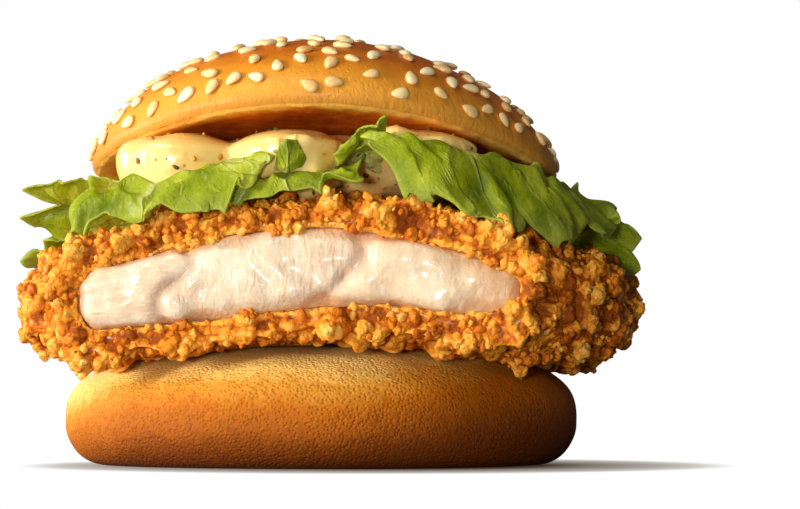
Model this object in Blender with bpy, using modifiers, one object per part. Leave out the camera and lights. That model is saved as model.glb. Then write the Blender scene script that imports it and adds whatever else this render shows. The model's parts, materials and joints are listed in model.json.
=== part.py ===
"""Chicken burger: a sesame bun, a fried chicken piece cut open at the front, lettuce and a thick dressing.

Metres, +Z up, front towards -Y. The origin is the centre of the flat underside of the lower bun.
"""

import math
import random

import bmesh
import bpy
from mathutils import Euler, Matrix, Vector, noise
from mathutils.bvhtree import BVHTree

# Gap between neighbours that touch
GAP = 0.0003

# Lower bun: a turned cushion with a flat foot
BASE_RADIUS = 0.0500
BASE_FOOT_RADIUS = 0.0420
BASE_WIDEST_Z = 0.0080
BASE_HEIGHT = 0.0231
BASE_ROUNDNESS = 3.0
BASE_STEPS = 32

# Chicken piece: coating outside, meat inside, both draped over the lower bun
CHICKEN_CENTRE = Vector((0.0014, 0.0, 0.0372))
COATING_HALF = Vector((0.0582, 0.0565, 0.0140))
COATING_PLAN, COATING_SIDE = 2.6, 3.2
MEAT_HALF = Vector((0.0518, 0.0525, 0.0090))
MEAT_PLAN, MEAT_SIDE = 3.6, 3.6
SIDE_DROOP, SIDE_DROOP_REACH = 0.0066, 0.0550
BACK_DROOP, BACK_DROOP_REACH = 0.0022, 0.0500
CUT_TURN = math.radians(8.0)
CUT_DISTANCE = 0.0440
CUT_NORMAL = Vector((-math.sin(CUT_TURN), -math.cos(CUT_TURN), 0.0))
CUT_SIDEWAYS = Vector((math.cos(CUT_TURN), -math.sin(CUT_TURN), 0.0))
CUT_BULGE = 0.22
MEAT_LOBES = 0.0010
MEAT_LOBE_PITCH = 0.0300
MEAT_LOBE_START = -0.0230

# Crags of the coating, all over and round the cut
CRAG_COUNT = 430
CRAG_RADIUS = (0.0019, 0.0043)
RIM_CRAG_COUNT = 90
RIM_CRAG_RADIUS = (0.0014, 0.0030)
RIM_CRAG_BAND = (0.0018, 0.0052)
CUT_HALF_LENGTH = 0.0410
CRAG_VOXEL = 0.0012
COATING_TRIANGLES = 2900

# Upper bun: a dome, arched from side to side and tipped back
TOP_RADIUS = 0.0455
TOP_HEIGHT = 0.0167
TOP_RIM = 0.0026
TOP_ARCH = 0.0075
TOP_ARCH_MIDDLE = -0.0030
TOP_TILT = math.radians(-6.0)
TOP_CENTRE = Vector((0.0005, 0.0010, 0.0622))
TOP_STEPS = 32

# Sesame seeds on the upper bun
SEED_COUNT = 134
SEED_HALF = Vector((0.00175, 0.00108, 0.00060))
SEED_NARROWING = 0.35
SEED_RISE = 0.35
SEED_REACH = 0.94
SEED_SPREAD = 0.0012
SEED_LOWEST = 0.997
SEED_CROWDING = 0.62

# Dressing: a flattened body under the upper bun, with lumps that swell out of its edge
SAUCE_BODY = ((0.0000, -0.0070, 0.0580), (0.0280, 0.0230, 0.0060))
SAUCE_LUMPS = (
    ((-0.0265, -0.0300, 0.0584), (0.0118, 0.0110, 0.0042)),
    ((-0.0055, -0.0330, 0.0588), (0.0108, 0.0110, 0.0044)),
    ((0.0190, -0.0320, 0.0588), (0.0112, 0.0105, 0.0042)),
    ((-0.0030, 0.0080, 0.0575), (0.0120, 0.0110, 0.0034)),
)
SAUCE_VOXEL = 0.0012
SAUCE_TRIANGLES = 640
SAUCE_REACH = 0.0015
SAUCE_SKIN = 0.0006

# Lettuce
LEAF_THICKNESS = 0.0006
LEAF_GAP = 0.0007

LEAF_OVERHANG = 0.30
LEAF_FOLD = 0.0095
LEAF_SALT = 0.05
NOISE_OFFSETS = (Vector((0.0, 0.0, 0.0)), Vector((17.3, 5.1, 9.7)), Vector((4.9, 23.6, 13.2)))

# Each leaf is a patch that grows outwards from the middle of the burger. Bearing and roll are in degrees,
# and the heights are those before the leaf droops with the chicken.
LEAF_KEYS = (
    "bearing", "inner", "outer", "width", "low", "edge", "bulge", "roll", "tip", "ruffle", "taper"
)
LEAVES = {
    "lettuce_back": (90, 0.027, 0.0580, 0.036, 0.0575, 0.0475, 0.0010, 0, 0.000, 0.0020, -0.45),
    "lettuce_back_right": (31, 0.031, 0.0590, 0.036, 0.0555, 0.0475, 0.0010, 0, 0.000, 0.0022, -0.45),
    "lettuce_back_left": (149, 0.031, 0.0590, 0.036, 0.0555, 0.0475, 0.0010, 0, 0.000, 0.0022, -0.45),
    "lettuce_left_rib": (-165, 0.034, 0.0600, 0.015, 0.0525, 0.0560, 0.0005, 52, -0.010, 0.0010, 0.05),
    "lettuce_far_right": (-8, 0.040, 0.0635, 0.013, 0.0510, 0.0480, 0.0020, 58, -0.004, 0.0008, -0.10),
    "lettuce_front": (-98, 0.031, 0.0480, 0.026, 0.0535, 0.0520, 0.0020, 0, 0.000, 0.0030, -0.20),
    "lettuce_left": (-126, 0.032, 0.0590, 0.032, 0.0570, 0.0500, 0.0045, 0, 0.000, 0.0016, -0.40),
    "lettuce_right_back": (-25, 0.030, 0.0585, 0.032, 0.0580, 0.0505, 0.0065, 0, 0.000, 0.0030, -0.30),
    "lettuce_right": (-58, 0.034, 0.0600, 0.031, 0.0570, 0.0500, 0.0085, 0, 0.000, 0.0024, -0.40),
    "lettuce_front_frill": (-97, 0.040, 0.0480, 0.007, 0.0525, 0.0600, 0.0005, 15, 0.003, 0.0008, 0.30),
    "lettuce_front_curl": (-78, 0.037, 0.0490, 0.012, 0.0535, 0.0630, 0.0010, 30, 0.003, 0.0014, 0.10),
}
LEAF_ACROSS, LEAF_ALONG = 10, 6
LEAF_REACH = 0.0022

# Settling soft pieces on what is below them
LIFT_STEP = 0.0003
LIFT_ROUNDS = 40


def clear_scene():
    for thing in list(bpy.data.objects):
        bpy.data.objects.remove(thing)


def collection(name):
    made = bpy.data.collections.new(name)
    bpy.context.scene.collection.children.link(made)
    return made


def material(name, colour, roughness):
    made = bpy.data.materials.new(name)
    made.use_nodes = True
    shader = made.node_tree.nodes["Principled BSDF"]
    shader.inputs["Base Color"].default_value = (*colour, 1.0)
    shader.inputs["Roughness"].default_value = roughness
    shader.inputs["Metallic"].default_value = 0.0
    return made


def smoothstep(t):
    t = min(max(t, 0.0), 1.0)
    return t * t * (3.0 - 2.0 * t)


def object_from(bm, name, home, finish=None):
    mesh = bpy.data.meshes.new(name)
    bm.to_mesh(mesh)
    bm.free()
    thing = bpy.data.objects.new(name, mesh)
    home.objects.link(thing)
    if finish:
        mesh.materials.append(finish)
    return thing


def apply_modifiers(thing):
    """Turns the object into its own evaluated mesh."""
    graph = bpy.context.evaluated_depsgraph_get()
    made = bpy.data.meshes.new_from_object(thing.evaluated_get(graph))
    thing.modifiers.clear()
    thing.data = made
    return thing


def reshape(thing, function):
    """Moves each vertex to function(its place)."""
    for vertex in thing.data.vertices:
        vertex.co = function(vertex.co)
    thing.data.update()


def fuse_and_thin(thing, voxel, triangles):
    """Melts overlapping bodies into one skin of about the given number of triangles."""
    fuse = thing.modifiers.new("fuse", "REMESH")
    fuse.mode, fuse.voxel_size = "VOXEL", voxel
    apply_modifiers(thing)
    thing.data.calc_loop_triangles()
    thin = thing.modifiers.new("thin", "DECIMATE")
    thin.ratio = triangles / len(thing.data.loop_triangles)
    return apply_modifiers(thing)


def keep_largest_body(thing):
    """Drops loose scraps that a cut leaves beside the main body."""
    bm = bmesh.new()
    bm.from_mesh(thing.data)
    left, bodies = set(bm.verts), []
    while left:
        stack, body = [left.pop()], set()
        while stack:
            vertex = stack.pop()
            body.add(vertex)
            for edge in vertex.link_edges:
                other = edge.other_vert(vertex)
                if other in left:
                    left.remove(other)
                    stack.append(other)
        bodies.append(body)
    bodies.sort(key=len)
    scraps = [vertex for body in bodies[:-1] for vertex in body]
    bmesh.ops.delete(bm, geom=scraps, context="VERTS")
    bm.to_mesh(thing.data)
    bm.free()


def boolean(thing, operation, other):
    """Cuts or joins with an object or a collection, and applies it."""
    cut = thing.modifiers.new(operation.lower(), "BOOLEAN")
    cut.operation, cut.solver = operation, "EXACT"
    if isinstance(other, bpy.types.Collection):
        cut.operand_type, cut.collection = "COLLECTION", other
    else:
        cut.object = other
    return apply_modifiers(thing)


def turned(name, profile, steps, home, finish):
    """A closed turned body from its (radius, height) profile, listed from the top down."""
    bm = bmesh.new()
    points = [bm.verts.new((radius, 0.0, height)) for radius, height in profile]
    for first, second in zip(points, points[1:]):
        bm.edges.new((first, second))
    thing = object_from(bm, name, home, finish)
    screw = thing.modifiers.new("turn", "SCREW")
    screw.steps = screw.render_steps = steps
    screw.use_merge_vertices, screw.merge_threshold = True, 0.00001
    return apply_modifiers(thing)


def base_bun_profile(grow=0.0, rings=9):
    """The cushion shape of the lower bun, grown outwards by grow for use as a cutter."""
    radius, top = BASE_RADIUS + grow, BASE_HEIGHT - BASE_WIDEST_Z + grow
    points = []
    for i in range(rings + 1):
        turn = math.pi / 2 * (1 - i / rings)
        power = 2 / BASE_ROUNDNESS
        points.append((radius * abs(math.cos(turn)) ** power, BASE_WIDEST_Z + top * math.sin(turn) ** power))
    points[0] = (0.0, points[0][1])
    fillet = BASE_RADIUS - BASE_FOOT_RADIUS + grow
    for i in range(1, 5):
        turn = math.pi / 2 * i / 4
        points.append((BASE_FOOT_RADIUS + fillet * math.cos(turn), BASE_WIDEST_Z * (1 - math.sin(turn))))
    points.append((0.0, 0.0))
    return points


def base_bun(home, finish):
    return turned("bun_base", base_bun_profile(), BASE_STEPS, home, finish)


def rounded_block(direction, half, plan, side):
    """The point of a rounded block in a direction of the unit sphere stretched to its half sizes."""
    x, y, z = direction.x * half.x, direction.y * half.y, direction.z * half.z
    flat = abs(direction.x) ** plan + abs(direction.y) ** plan
    size = (flat ** (side / plan) + abs(direction.z) ** side) ** (1 / side)
    return Vector((x, y, z)) / size


def droop(x, y):
    """How far the chicken hangs down over the sides and the back of the bun, at a point of the plan."""
    sideways = SIDE_DROOP * smoothstep(abs(x) / SIDE_DROOP_REACH)
    return sideways + BACK_DROOP * smoothstep(y / BACK_DROOP_REACH)


def drape(point):
    """Bends a point of the chicken, given from its centre, over the bun."""
    return point + CHICKEN_CENTRE - Vector((0.0, 0.0, droop(point.x, point.y)))


def cut_front(point, bulge):
    """Presses what stands in front of the cut back to it, leaving a share of it as a bulge."""
    ahead = point.dot(CUT_NORMAL) - CUT_DISTANCE
    if ahead <= 0.0:
        return point
    return point - CUT_NORMAL * ahead * (1.0 - bulge)


def coating_point(direction):
    point = rounded_block(direction, COATING_HALF, COATING_PLAN, COATING_SIDE)
    return drape(cut_front(point, 0.0))


def meat_point(direction, grow=0.0):
    """The meat, with soft lobes on its cut face."""
    half = MEAT_HALF + Vector((grow, grow, grow))
    point = rounded_block(direction, half, MEAT_PLAN, MEAT_SIDE)
    front = smoothstep((point.dot(CUT_NORMAL) - CUT_DISTANCE + 0.004) / 0.006)
    point = cut_front(point, CUT_BULGE)
    lobe = abs(math.sin(math.pi * (point.x - MEAT_LOBE_START) / MEAT_LOBE_PITCH))
    point += CUT_NORMAL * front * (MEAT_LOBES * lobe + grow)
    return drape(point)


def cut_face_point(along, height):
    """A point of the cut face, given along it and up it from the middle, before draping."""
    return CUT_NORMAL * CUT_DISTANCE + CUT_SIDEWAYS * along + Vector((0.0, 0.0, height))


def on_cut_meat(point):
    """Whether a point of the cut face lies on the meat and not on the coating round it."""
    along = (point - CUT_NORMAL * CUT_DISTANCE).dot(CUT_SIDEWAYS)
    return abs(along / CUT_HALF_LENGTH) ** MEAT_PLAN + abs(point.z / MEAT_HALF.z) ** MEAT_SIDE < 1.25


def random_direction(rng):
    height = rng.uniform(-1.0, 1.0)
    turn = rng.uniform(0.0, 2 * math.pi)
    flat = math.sqrt(1.0 - height * height)
    return Vector((flat * math.cos(turn), flat * math.sin(turn), height))


def add_crag(bm, place, radius, rng):
    """One lump of batter, stretched and turned at random."""
    size = Vector([radius * rng.uniform(0.55, 1.15) for _ in range(3)])
    turn = Euler([rng.uniform(0.0, math.pi) for _ in range(3)]).to_matrix().to_4x4()
    matrix = Matrix.Translation(place) @ turn @ Matrix.Diagonal((*size, 1.0))
    bmesh.ops.create_icosphere(bm, subdivisions=1, radius=1.0, matrix=matrix)


def add_crags_all_over(bm, rng):
    for _ in range(CRAG_COUNT):
        direction = random_direction(rng)
        block = rounded_block(direction, COATING_HALF, COATING_PLAN, COATING_SIDE)
        flat = cut_front(block, 0.0)
        radius = rng.uniform(*CRAG_RADIUS)
        if (block - flat).length == 0.0 or not on_cut_meat(flat):
            add_crag(bm, drape(flat), radius, rng)


def add_crags_round_cut(bm, rng):
    """Smaller lumps on the cut edge of the coating, some of them over the border of the meat."""
    for i in range(RIM_CRAG_COUNT):
        turn = 2 * math.pi * (i + rng.random()) / RIM_CRAG_COUNT
        out = rng.uniform(*RIM_CRAG_BAND)
        across, up = math.cos(turn), math.sin(turn)
        along = math.copysign(abs(across) ** (2 / MEAT_PLAN), across) * (CUT_HALF_LENGTH + out)
        height = math.copysign(abs(up) ** (2 / MEAT_SIDE), up) * (MEAT_HALF.z + out)
        add_crag(bm, drape(cut_face_point(along, height)), rng.uniform(*RIM_CRAG_RADIUS), rng)


def coating(home, helpers, finish):
    """The batter shell: a draped block with crags, cut open at the front round the meat."""
    rng = random.Random(7)
    bm = bmesh.new()
    bmesh.ops.create_icosphere(bm, subdivisions=5, radius=1.0)
    for vertex in bm.verts:
        vertex.co = coating_point(vertex.co.normalized())
    add_crags_all_over(bm, rng)
    add_crags_round_cut(bm, rng)
    shell = object_from(bm, "chicken_coating", home, finish)
    fuse_and_thin(shell, CRAG_VOXEL, COATING_TRIANGLES)

    pocket = meat("meat_cutter", helpers, None, grow=GAP * 1.4)
    seat = turned("seat_cutter", base_bun_profile(grow=GAP * 1.4), BASE_STEPS, helpers, None)
    for cutter in (pocket, seat):
        boolean(shell, "DIFFERENCE", cutter)
        bpy.data.objects.remove(cutter)
    keep_largest_body(shell)
    return shell


def meat(name, home, finish, grow=0.0):
    bm = bmesh.new()
    bmesh.ops.create_uvsphere(bm, u_segments=30, v_segments=12, radius=1.0)
    for vertex in bm.verts:
        vertex.co = meat_point(vertex.co.normalized(), grow)
    bmesh.ops.triangulate(bm, faces=bm.faces)
    return object_from(bm, name, home, finish)


def top_bun_profile(rings=10):
    """Dome above the rim, rounded rim, then the flat toasted face."""
    points = []
    for i in range(rings + 1):
        turn = math.pi / 2 * (1 - i / rings)
        points.append((TOP_RADIUS * math.cos(turn), TOP_RIM + TOP_HEIGHT * math.sin(turn)))
    points[0] = (0.0, points[0][1])
    for i in range(1, 4):
        turn = math.pi / 2 * i / 3
        points.append((TOP_RADIUS - TOP_RIM * (1 - math.cos(turn)), TOP_RIM * (1 - math.sin(turn))))
    points.append((TOP_RADIUS * 0.72, 0.0))
    points.append((TOP_RADIUS * 0.40, 0.0))
    points.append((0.0, 0.0))
    return points


def arch_drop(x):
    return TOP_ARCH * ((x - TOP_ARCH_MIDDLE) / TOP_RADIUS) ** 2


def arch(point):
    """Lets the two sides of the upper bun hang lower than its middle."""
    return point - Vector((0.0, 0.0, arch_drop(point.x)))


def top_placement():
    return Matrix.Translation(TOP_CENTRE) @ Matrix.Rotation(TOP_TILT, 4, "X")


def under_top(x, y):
    """Height of the toasted face of the upper bun above a point of the plan, or None outside it."""
    slope = math.tan(-TOP_TILT)
    flat_x, flat_y = x - TOP_CENTRE.x, (y - TOP_CENTRE.y) / math.cos(TOP_TILT)
    if math.hypot(flat_x, flat_y) > TOP_RADIUS + 0.002:
        return None
    return TOP_CENTRE.z - (y - TOP_CENTRE.y) * slope - arch_drop(flat_x)


def seed_places(rng):
    """Points and headings of the seeds on the dome: a loosened golden spiral that ends above the rim."""
    golden = math.pi * (3.0 - math.sqrt(5.0))
    places = []
    for i in range(SEED_COUNT):
        fall = math.pi / 2 * SEED_REACH * ((i + 0.5) / SEED_COUNT) ** SEED_CROWDING
        reach = TOP_RADIUS * math.sin(fall)
        x = reach * math.cos(i * golden) + rng.uniform(-SEED_SPREAD, SEED_SPREAD)
        y = reach * math.sin(i * golden) + rng.uniform(-SEED_SPREAD, SEED_SPREAD)
        heading = rng.uniform(0.0, 2 * math.pi)
        scale = rng.uniform(0.86, 1.12)
        share = min(math.hypot(x, y) / TOP_RADIUS, SEED_LOWEST)
        turn = math.atan2(y, x)
        steep = math.asin(math.sqrt(1 - share * share))
        radius, height = TOP_RADIUS * math.cos(steep), TOP_RIM + TOP_HEIGHT * math.sin(steep)
        point = Vector((radius * math.cos(turn), radius * math.sin(turn), height))
        rise = (height - TOP_RIM) / TOP_HEIGHT**2
        normal = Vector((point.x / TOP_RADIUS**2, point.y / TOP_RADIUS**2, rise))
        places.append((point, normal.normalized(), heading, scale))
    return places


def seed(point, normal, heading, scale, home):
    """One flat, drop-shaped seed that lies on the dome, half sunk in it."""
    bm = bmesh.new()
    bmesh.ops.create_uvsphere(bm, u_segments=4, v_segments=3, radius=1.0)
    for vertex in bm.verts:
        vertex.co.y *= 1.0 - SEED_NARROWING * vertex.co.x
        vertex.co *= SEED_HALF
    upright = normal.to_track_quat("Z", "Y").to_matrix().to_4x4()
    matrix = Matrix.Translation(arch(point) + normal * SEED_HALF.z * SEED_RISE) @ upright
    matrix = matrix @ Matrix.Rotation(heading, 4, "Z") @ Matrix.Scale(scale, 4)
    bmesh.ops.transform(bm, matrix=matrix, verts=bm.verts)
    return object_from(bm, "seed", home)


def top_bun(home, finish):
    """The dome with its seeds joined on, arched and tipped back onto the filling."""
    dome = turned("bun_top", top_bun_profile(), TOP_STEPS, home, finish)
    reshape(dome, arch)
    seeds = collection("seeds")
    for place in seed_places(random.Random(3)):
        seed(*place, seeds)
    boolean(dome, "UNION", seeds)
    for thing in list(seeds.objects):
        bpy.data.objects.remove(thing)
    bpy.data.collections.remove(seeds)
    keep_largest_body(dome)
    placement = top_placement()
    reshape(dome, lambda point: placement @ point)
    return dome


def tree_of(thing):
    bm = bmesh.new()
    bm.from_mesh(thing.data)
    tree = BVHTree.FromBMesh(bm)
    bm.free()
    return tree


def top_of(trees, x, y, reach):
    """Height of the highest thing under a point of the plan and its near surroundings, or None."""
    found = []
    for step_x in (-reach, 0.0, reach):
        for step_y in (-reach, 0.0, reach):
            start = Vector((x + step_x, y + step_y, 0.2))
            for tree in trees:
                hit = tree.ray_cast(start, Vector((0.0, 0.0, -1.0)))[0]
                if hit:
                    found.append(hit.z)
    return max(found, default=None)


def wander(place):
    """Three smooth noises at a point as a vector, the same in every run."""
    return Vector([noise.noise(place + offset) for offset in NOISE_OFFSETS])


def leaf_point(across, along, shape, salt):
    """A point of a leaf's middle surface: across from -1 to 1, along from 0 inside to 1 at its rim."""
    turn, roll = math.radians(shape["bearing"]), math.radians(shape["roll"])
    outward = Vector((math.cos(turn), math.sin(turn), 0.0))
    sideways = Vector((-math.sin(turn) * math.cos(roll), math.cos(turn) * math.cos(roll), math.sin(roll)))
    length, grow = shape["outer"] - shape["inner"], along * along
    reach = shape["inner"] + length * along * (1.0 - 0.16 * across * across)
    reach += shape["tip"] * grow * max(0.0, 1.0 - 1.8 * abs(across))
    half = 0.5 * shape["width"] * (1.0 - shape["taper"] * along)
    half *= 0.72 + 0.28 * math.sin(math.pi * (0.15 + 0.75 * along))
    rise = shape["low"] + (shape["edge"] - shape["low"]) * along
    rise += shape["bulge"] * math.sin(math.pi * along**1.5)
    folds = wander(Vector((across * half, along * length, salt)) / LEAF_FOLD)
    point = outward * reach + sideways * half * across + folds * shape["ruffle"] * (0.5 + grow)
    point = cut_front(point, LEAF_OVERHANG)
    point.z += rise - droop(point.x, point.y)
    return point


def lift_clear(bm, below, clearance):
    """Raises the vertices of each face that comes closer than clearance to what is below, until none does."""
    faces = [[vertex.index for vertex in face.verts] for face in bm.faces]
    for _ in range(LIFT_ROUNDS):
        touching = set()
        for lower in (clearance, clearance / 2, 0.0):
            points = [vertex.co - Vector((0.0, 0.0, lower)) for vertex in bm.verts]
            sheet = BVHTree.FromPolygons(points, faces)
            touching |= {face for tree in below for face, _ in sheet.overlap(tree)}
        if not touching:
            return
        for index in {index for face in touching for index in faces[face]}:
            bm.verts[index].co.z += LIFT_STEP


def leaf(name, shape, salt, below, home, finish):
    """A thin wavy leaf that lies on what is below it and stays under the upper bun."""
    bm = bmesh.new()
    bmesh.ops.create_grid(bm, x_segments=LEAF_ACROSS - 1, y_segments=LEAF_ALONG - 1, size=1.0)
    for vertex in bm.verts:
        point = leaf_point(vertex.co.x, (vertex.co.y + 1.0) / 2, shape, salt)
        ceiling = under_top(point.x, point.y)
        if ceiling is not None:
            point.z = min(point.z, ceiling - LEAF_GAP - LEAF_THICKNESS / 2)
        floor = top_of(below, point.x, point.y, LEAF_REACH)
        if floor is not None:
            point.z = max(point.z, floor + LEAF_GAP + LEAF_THICKNESS / 2)
        vertex.co = point
    bmesh.ops.triangulate(bm, faces=bm.faces)
    bm.verts.ensure_lookup_table()
    lift_clear(bm, below, LEAF_THICKNESS / 2 + LEAF_GAP)
    thing = object_from(bm, name, home, finish)
    wall = thing.modifiers.new("wall", "SOLIDIFY")
    wall.thickness, wall.offset = LEAF_THICKNESS, 0.0
    return apply_modifiers(thing)


def sauce(below, home, finish):
    """The dressing, squeezed between the lettuce and the upper bun."""
    bm = bmesh.new()
    for centre, half in (SAUCE_BODY, *SAUCE_LUMPS):
        matrix = Matrix.Translation(centre) @ Matrix.Diagonal((*half, 1.0))
        bmesh.ops.create_icosphere(bm, subdivisions=4, radius=1.0, matrix=matrix)
    dollop = object_from(bm, "sauce", home, finish)
    fuse_and_thin(dollop, SAUCE_VOXEL, SAUCE_TRIANGLES)
    bm = bmesh.new()
    bm.from_mesh(dollop.data)
    bm.normal_update()
    for vertex in bm.verts:
        point = vertex.co
        floor = top_of(below, point.x, point.y, SAUCE_REACH)
        if floor is not None:
            point.z = max(point.z, floor + GAP * 2 + SAUCE_SKIN * (1 + vertex.normal.z))
        ceiling = under_top(point.x, point.y)
        if ceiling is not None:
            point.z = min(point.z, ceiling - GAP * 3 - SAUCE_SKIN * (1 - vertex.normal.z))
    bmesh.ops.triangulate(bm, faces=bm.faces)
    bm.verts.ensure_lookup_table()
    lift_clear(bm, below, GAP)
    bm.to_mesh(dollop.data)
    bm.free()
    return dollop


def main():
    clear_scene()
    burger = collection("chicken_burger")
    helpers = collection("cutters")
    helpers.hide_render = True
    bread = material("bread", (0.60, 0.27, 0.06), 0.55)
    glazed = material("glazed_bread", (0.62, 0.27, 0.05), 0.38)
    batter = material("batter", (0.50, 0.20, 0.04), 0.50)
    flesh = material("cooked_chicken", (0.82, 0.64, 0.48), 0.35)
    green = material("lettuce", (0.25, 0.36, 0.03), 0.40)
    cream = material("dressing", (0.80, 0.56, 0.26), 0.30)

    base_bun(burger, bread)
    shell = coating(burger, helpers, batter)
    meat("chicken_meat", burger, flesh)
    below = [tree_of(shell)]
    for order, (name, values) in enumerate(LEAVES.items()):
        made = leaf(name, dict(zip(LEAF_KEYS, values)), order * LEAF_SALT, below, burger, green)
        below.append(tree_of(made))
    sauce(below, burger, cream)
    top_bun(burger, glazed)
    for thing in burger.objects:
        thing.data.shade_smooth()


main()
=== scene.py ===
"""Looks of a chicken burger: sesame bun, crisp chicken cut open at the front, lettuce and dressing.

Metres, +Z up, front towards -Y. The shapes repeat the named values of the part's own source,
with finer surfaces.
"""

import json
import math
import random
from collections import namedtuple

import bmesh
import bpy
import numpy as np
from mathutils import Euler, Matrix, Vector, noise
from mathutils.bvhtree import BVHTree

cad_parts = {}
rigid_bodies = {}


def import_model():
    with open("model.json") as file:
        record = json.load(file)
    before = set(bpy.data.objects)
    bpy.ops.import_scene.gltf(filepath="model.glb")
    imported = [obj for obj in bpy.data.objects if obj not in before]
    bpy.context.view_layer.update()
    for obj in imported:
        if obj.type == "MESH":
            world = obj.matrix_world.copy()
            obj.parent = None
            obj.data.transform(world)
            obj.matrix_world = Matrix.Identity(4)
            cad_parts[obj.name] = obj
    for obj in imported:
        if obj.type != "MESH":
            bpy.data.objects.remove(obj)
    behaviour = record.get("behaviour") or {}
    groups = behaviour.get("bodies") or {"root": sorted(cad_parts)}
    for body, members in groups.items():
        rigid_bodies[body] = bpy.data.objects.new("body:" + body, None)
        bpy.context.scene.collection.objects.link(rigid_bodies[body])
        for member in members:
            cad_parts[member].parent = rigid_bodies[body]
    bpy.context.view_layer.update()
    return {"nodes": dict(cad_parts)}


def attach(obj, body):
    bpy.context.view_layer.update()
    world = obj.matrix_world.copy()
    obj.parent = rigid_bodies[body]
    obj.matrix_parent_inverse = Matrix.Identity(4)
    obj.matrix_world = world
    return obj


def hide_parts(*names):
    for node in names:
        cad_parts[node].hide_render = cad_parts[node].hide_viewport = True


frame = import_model()

# Lower bun
BASE_RADIUS = 0.0500
BASE_FOOT_RADIUS = 0.0420
BASE_WIDEST_Z = 0.0080
BASE_HEIGHT = 0.0231
BASE_ROUNDNESS = 3.0
BASE_RINGS, BASE_FOOT_RINGS = 44, 12

# Upper bun
TOP_RADIUS = 0.0455
TOP_HEIGHT = 0.0167
TOP_RIM = 0.0026
TOP_ARCH = 0.0075
TOP_ARCH_MIDDLE = -0.0030
TOP_TILT = math.radians(-6.0)
TOP_CENTRE = Vector((0.0005, 0.0010, 0.0622))
TOP_RINGS, TOP_RIM_RINGS = 54, 8
BUN_STEPS = 220

# Sesame seeds
SEED_COUNT = 134
SEED_HALF = Vector((0.00182, 0.00112, 0.00062))
SEED_NARROWING = 0.35
SEED_RISE = 0.35
SEED_REACH = 0.94
SEED_SPREAD = 0.0012
SEED_LOWEST = 0.997
SEED_CROWDING = 0.62
SEED_EXTRA = 70
SEED_CLEARANCE = 0.0042
SEED_SIZES = (0.86, 1.12)

# Droop and cut of the chicken piece
SIDE_DROOP, SIDE_DROOP_REACH = 0.0066, 0.0550
BACK_DROOP, BACK_DROOP_REACH = 0.0022, 0.0500
CUT_TURN = math.radians(8.0)
CUT_DISTANCE = 0.0440
CUT_NORMAL = Vector((-math.sin(CUT_TURN), -math.cos(CUT_TURN), 0.0))
CUT_SIDEWAYS = Vector((math.cos(CUT_TURN), -math.sin(CUT_TURN), 0.0))

# Crust
CRUST_VOXEL = 0.00075
CRUST_LUMPS = 1300
CRUST_LUMP_RADIUS = (0.0012, 0.0028)
CRUST_LUMP_SINK = 0.30
CRUST_NODULE, CRUST_NODULE_DEPTH = 0.0024, 0.0004
CRUST_SINK = 0.0009
NUGGET_FRONT_DENSITY = 71000.0
NUGGET_BACK_DENSITY = 34000.0
NUGGET_SIZES = (0.0012, 0.0028)
NUGGET_STAND = 0.0018
NUGGET_BORDER = -0.020
NUGGET_LOBES = 9
NUGGET_LOBE_ANGLE = 0.68
CREST_ROUNDS = {4: 4.0, 24: 1.0}
MEAT_OVERLAP = 0.0009
POCKET_END, POCKET_SWELL = -0.034, 0.0010
CRUMB_DENSITY = 135000.0
CRUMB_SIZES = (0.0005, 0.0014)
CRUMB_RIM = 0.0016
CRUMB_FLATNESS = 0.35

# Cut meat
MEAT_VOXEL = 0.0008
MEAT_MIDDLE_Z = 0.0365
MEAT_CREASES = (-0.0205, 0.0130)
MEAT_CREASE_DEPTH, MEAT_CREASE_HALF = 0.0009, 0.0018
MEAT_SLANT = 0.35

# Lettuce: the leaves of the part's source, drawn finer
LEAF_THICKNESS = 0.0004
LEAF_GAP = 0.0005
LEAF_OVERHANG = 0.30
LEAF_FOLD = 0.0095
LEAF_SALT = 0.05
NOISE_OFFSETS = (Vector((0.0, 0.0, 0.0)), Vector((17.3, 5.1, 9.7)), Vector((4.9, 23.6, 13.2)))
LEAF_FRILL, LEAF_FRILL_DEPTH = 0.0046, 0.0044
LEAF_CREASE, LEAF_CREASE_DEPTH = 0.0055, 0.0030
LEAF_BLISTER, LEAF_BLISTER_DEPTH = 0.0026, 0.0006
Leaf = namedtuple("Leaf", "bearing inner outer width low edge bulge roll tip ruffle taper")
LEAVES = {
    "back": (90, 0.027, 0.0580, 0.036, 0.0575, 0.0475, 0.0010, 0, 0.000, 0.0020, -0.45),
    "back_right": (31, 0.031, 0.0590, 0.036, 0.0555, 0.0475, 0.0010, 0, 0.000, 0.0022, -0.45),
    "back_left": (149, 0.031, 0.0590, 0.036, 0.0555, 0.0475, 0.0010, 0, 0.000, 0.0022, -0.45),
    "left_rib": (-165, 0.034, 0.0600, 0.015, 0.0525, 0.0560, 0.0005, 52, -0.010, 0.0010, 0.05),
    "far_right": (-8, 0.040, 0.0635, 0.013, 0.0510, 0.0480, 0.0020, 58, -0.004, 0.0008, -0.10),
    "front": (-98, 0.031, 0.0480, 0.026, 0.0535, 0.0520, 0.0020, 0, 0.000, 0.0030, -0.20),
    "left": (-126, 0.032, 0.0590, 0.032, 0.0570, 0.0500, 0.0045, 0, 0.000, 0.0016, -0.40),
    "right_back": (-25, 0.030, 0.0585, 0.032, 0.0580, 0.0505, 0.0065, 0, 0.000, 0.0030, -0.30),
    "right": (-58, 0.034, 0.0600, 0.031, 0.0570, 0.0500, 0.0085, 0, 0.000, 0.0024, -0.40),
    "front_frill": (-97, 0.040, 0.0480, 0.007, 0.0525, 0.0600, 0.0005, 15, 0.003, 0.0008, 0.30),
    "front_curl": (-78, 0.037, 0.0490, 0.012, 0.0535, 0.0630, 0.0010, 30, 0.003, 0.0014, 0.10),
}
LEAF_ACROSS, LEAF_ALONG = 84, 48
LEAF_REACH = 0.0008

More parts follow.
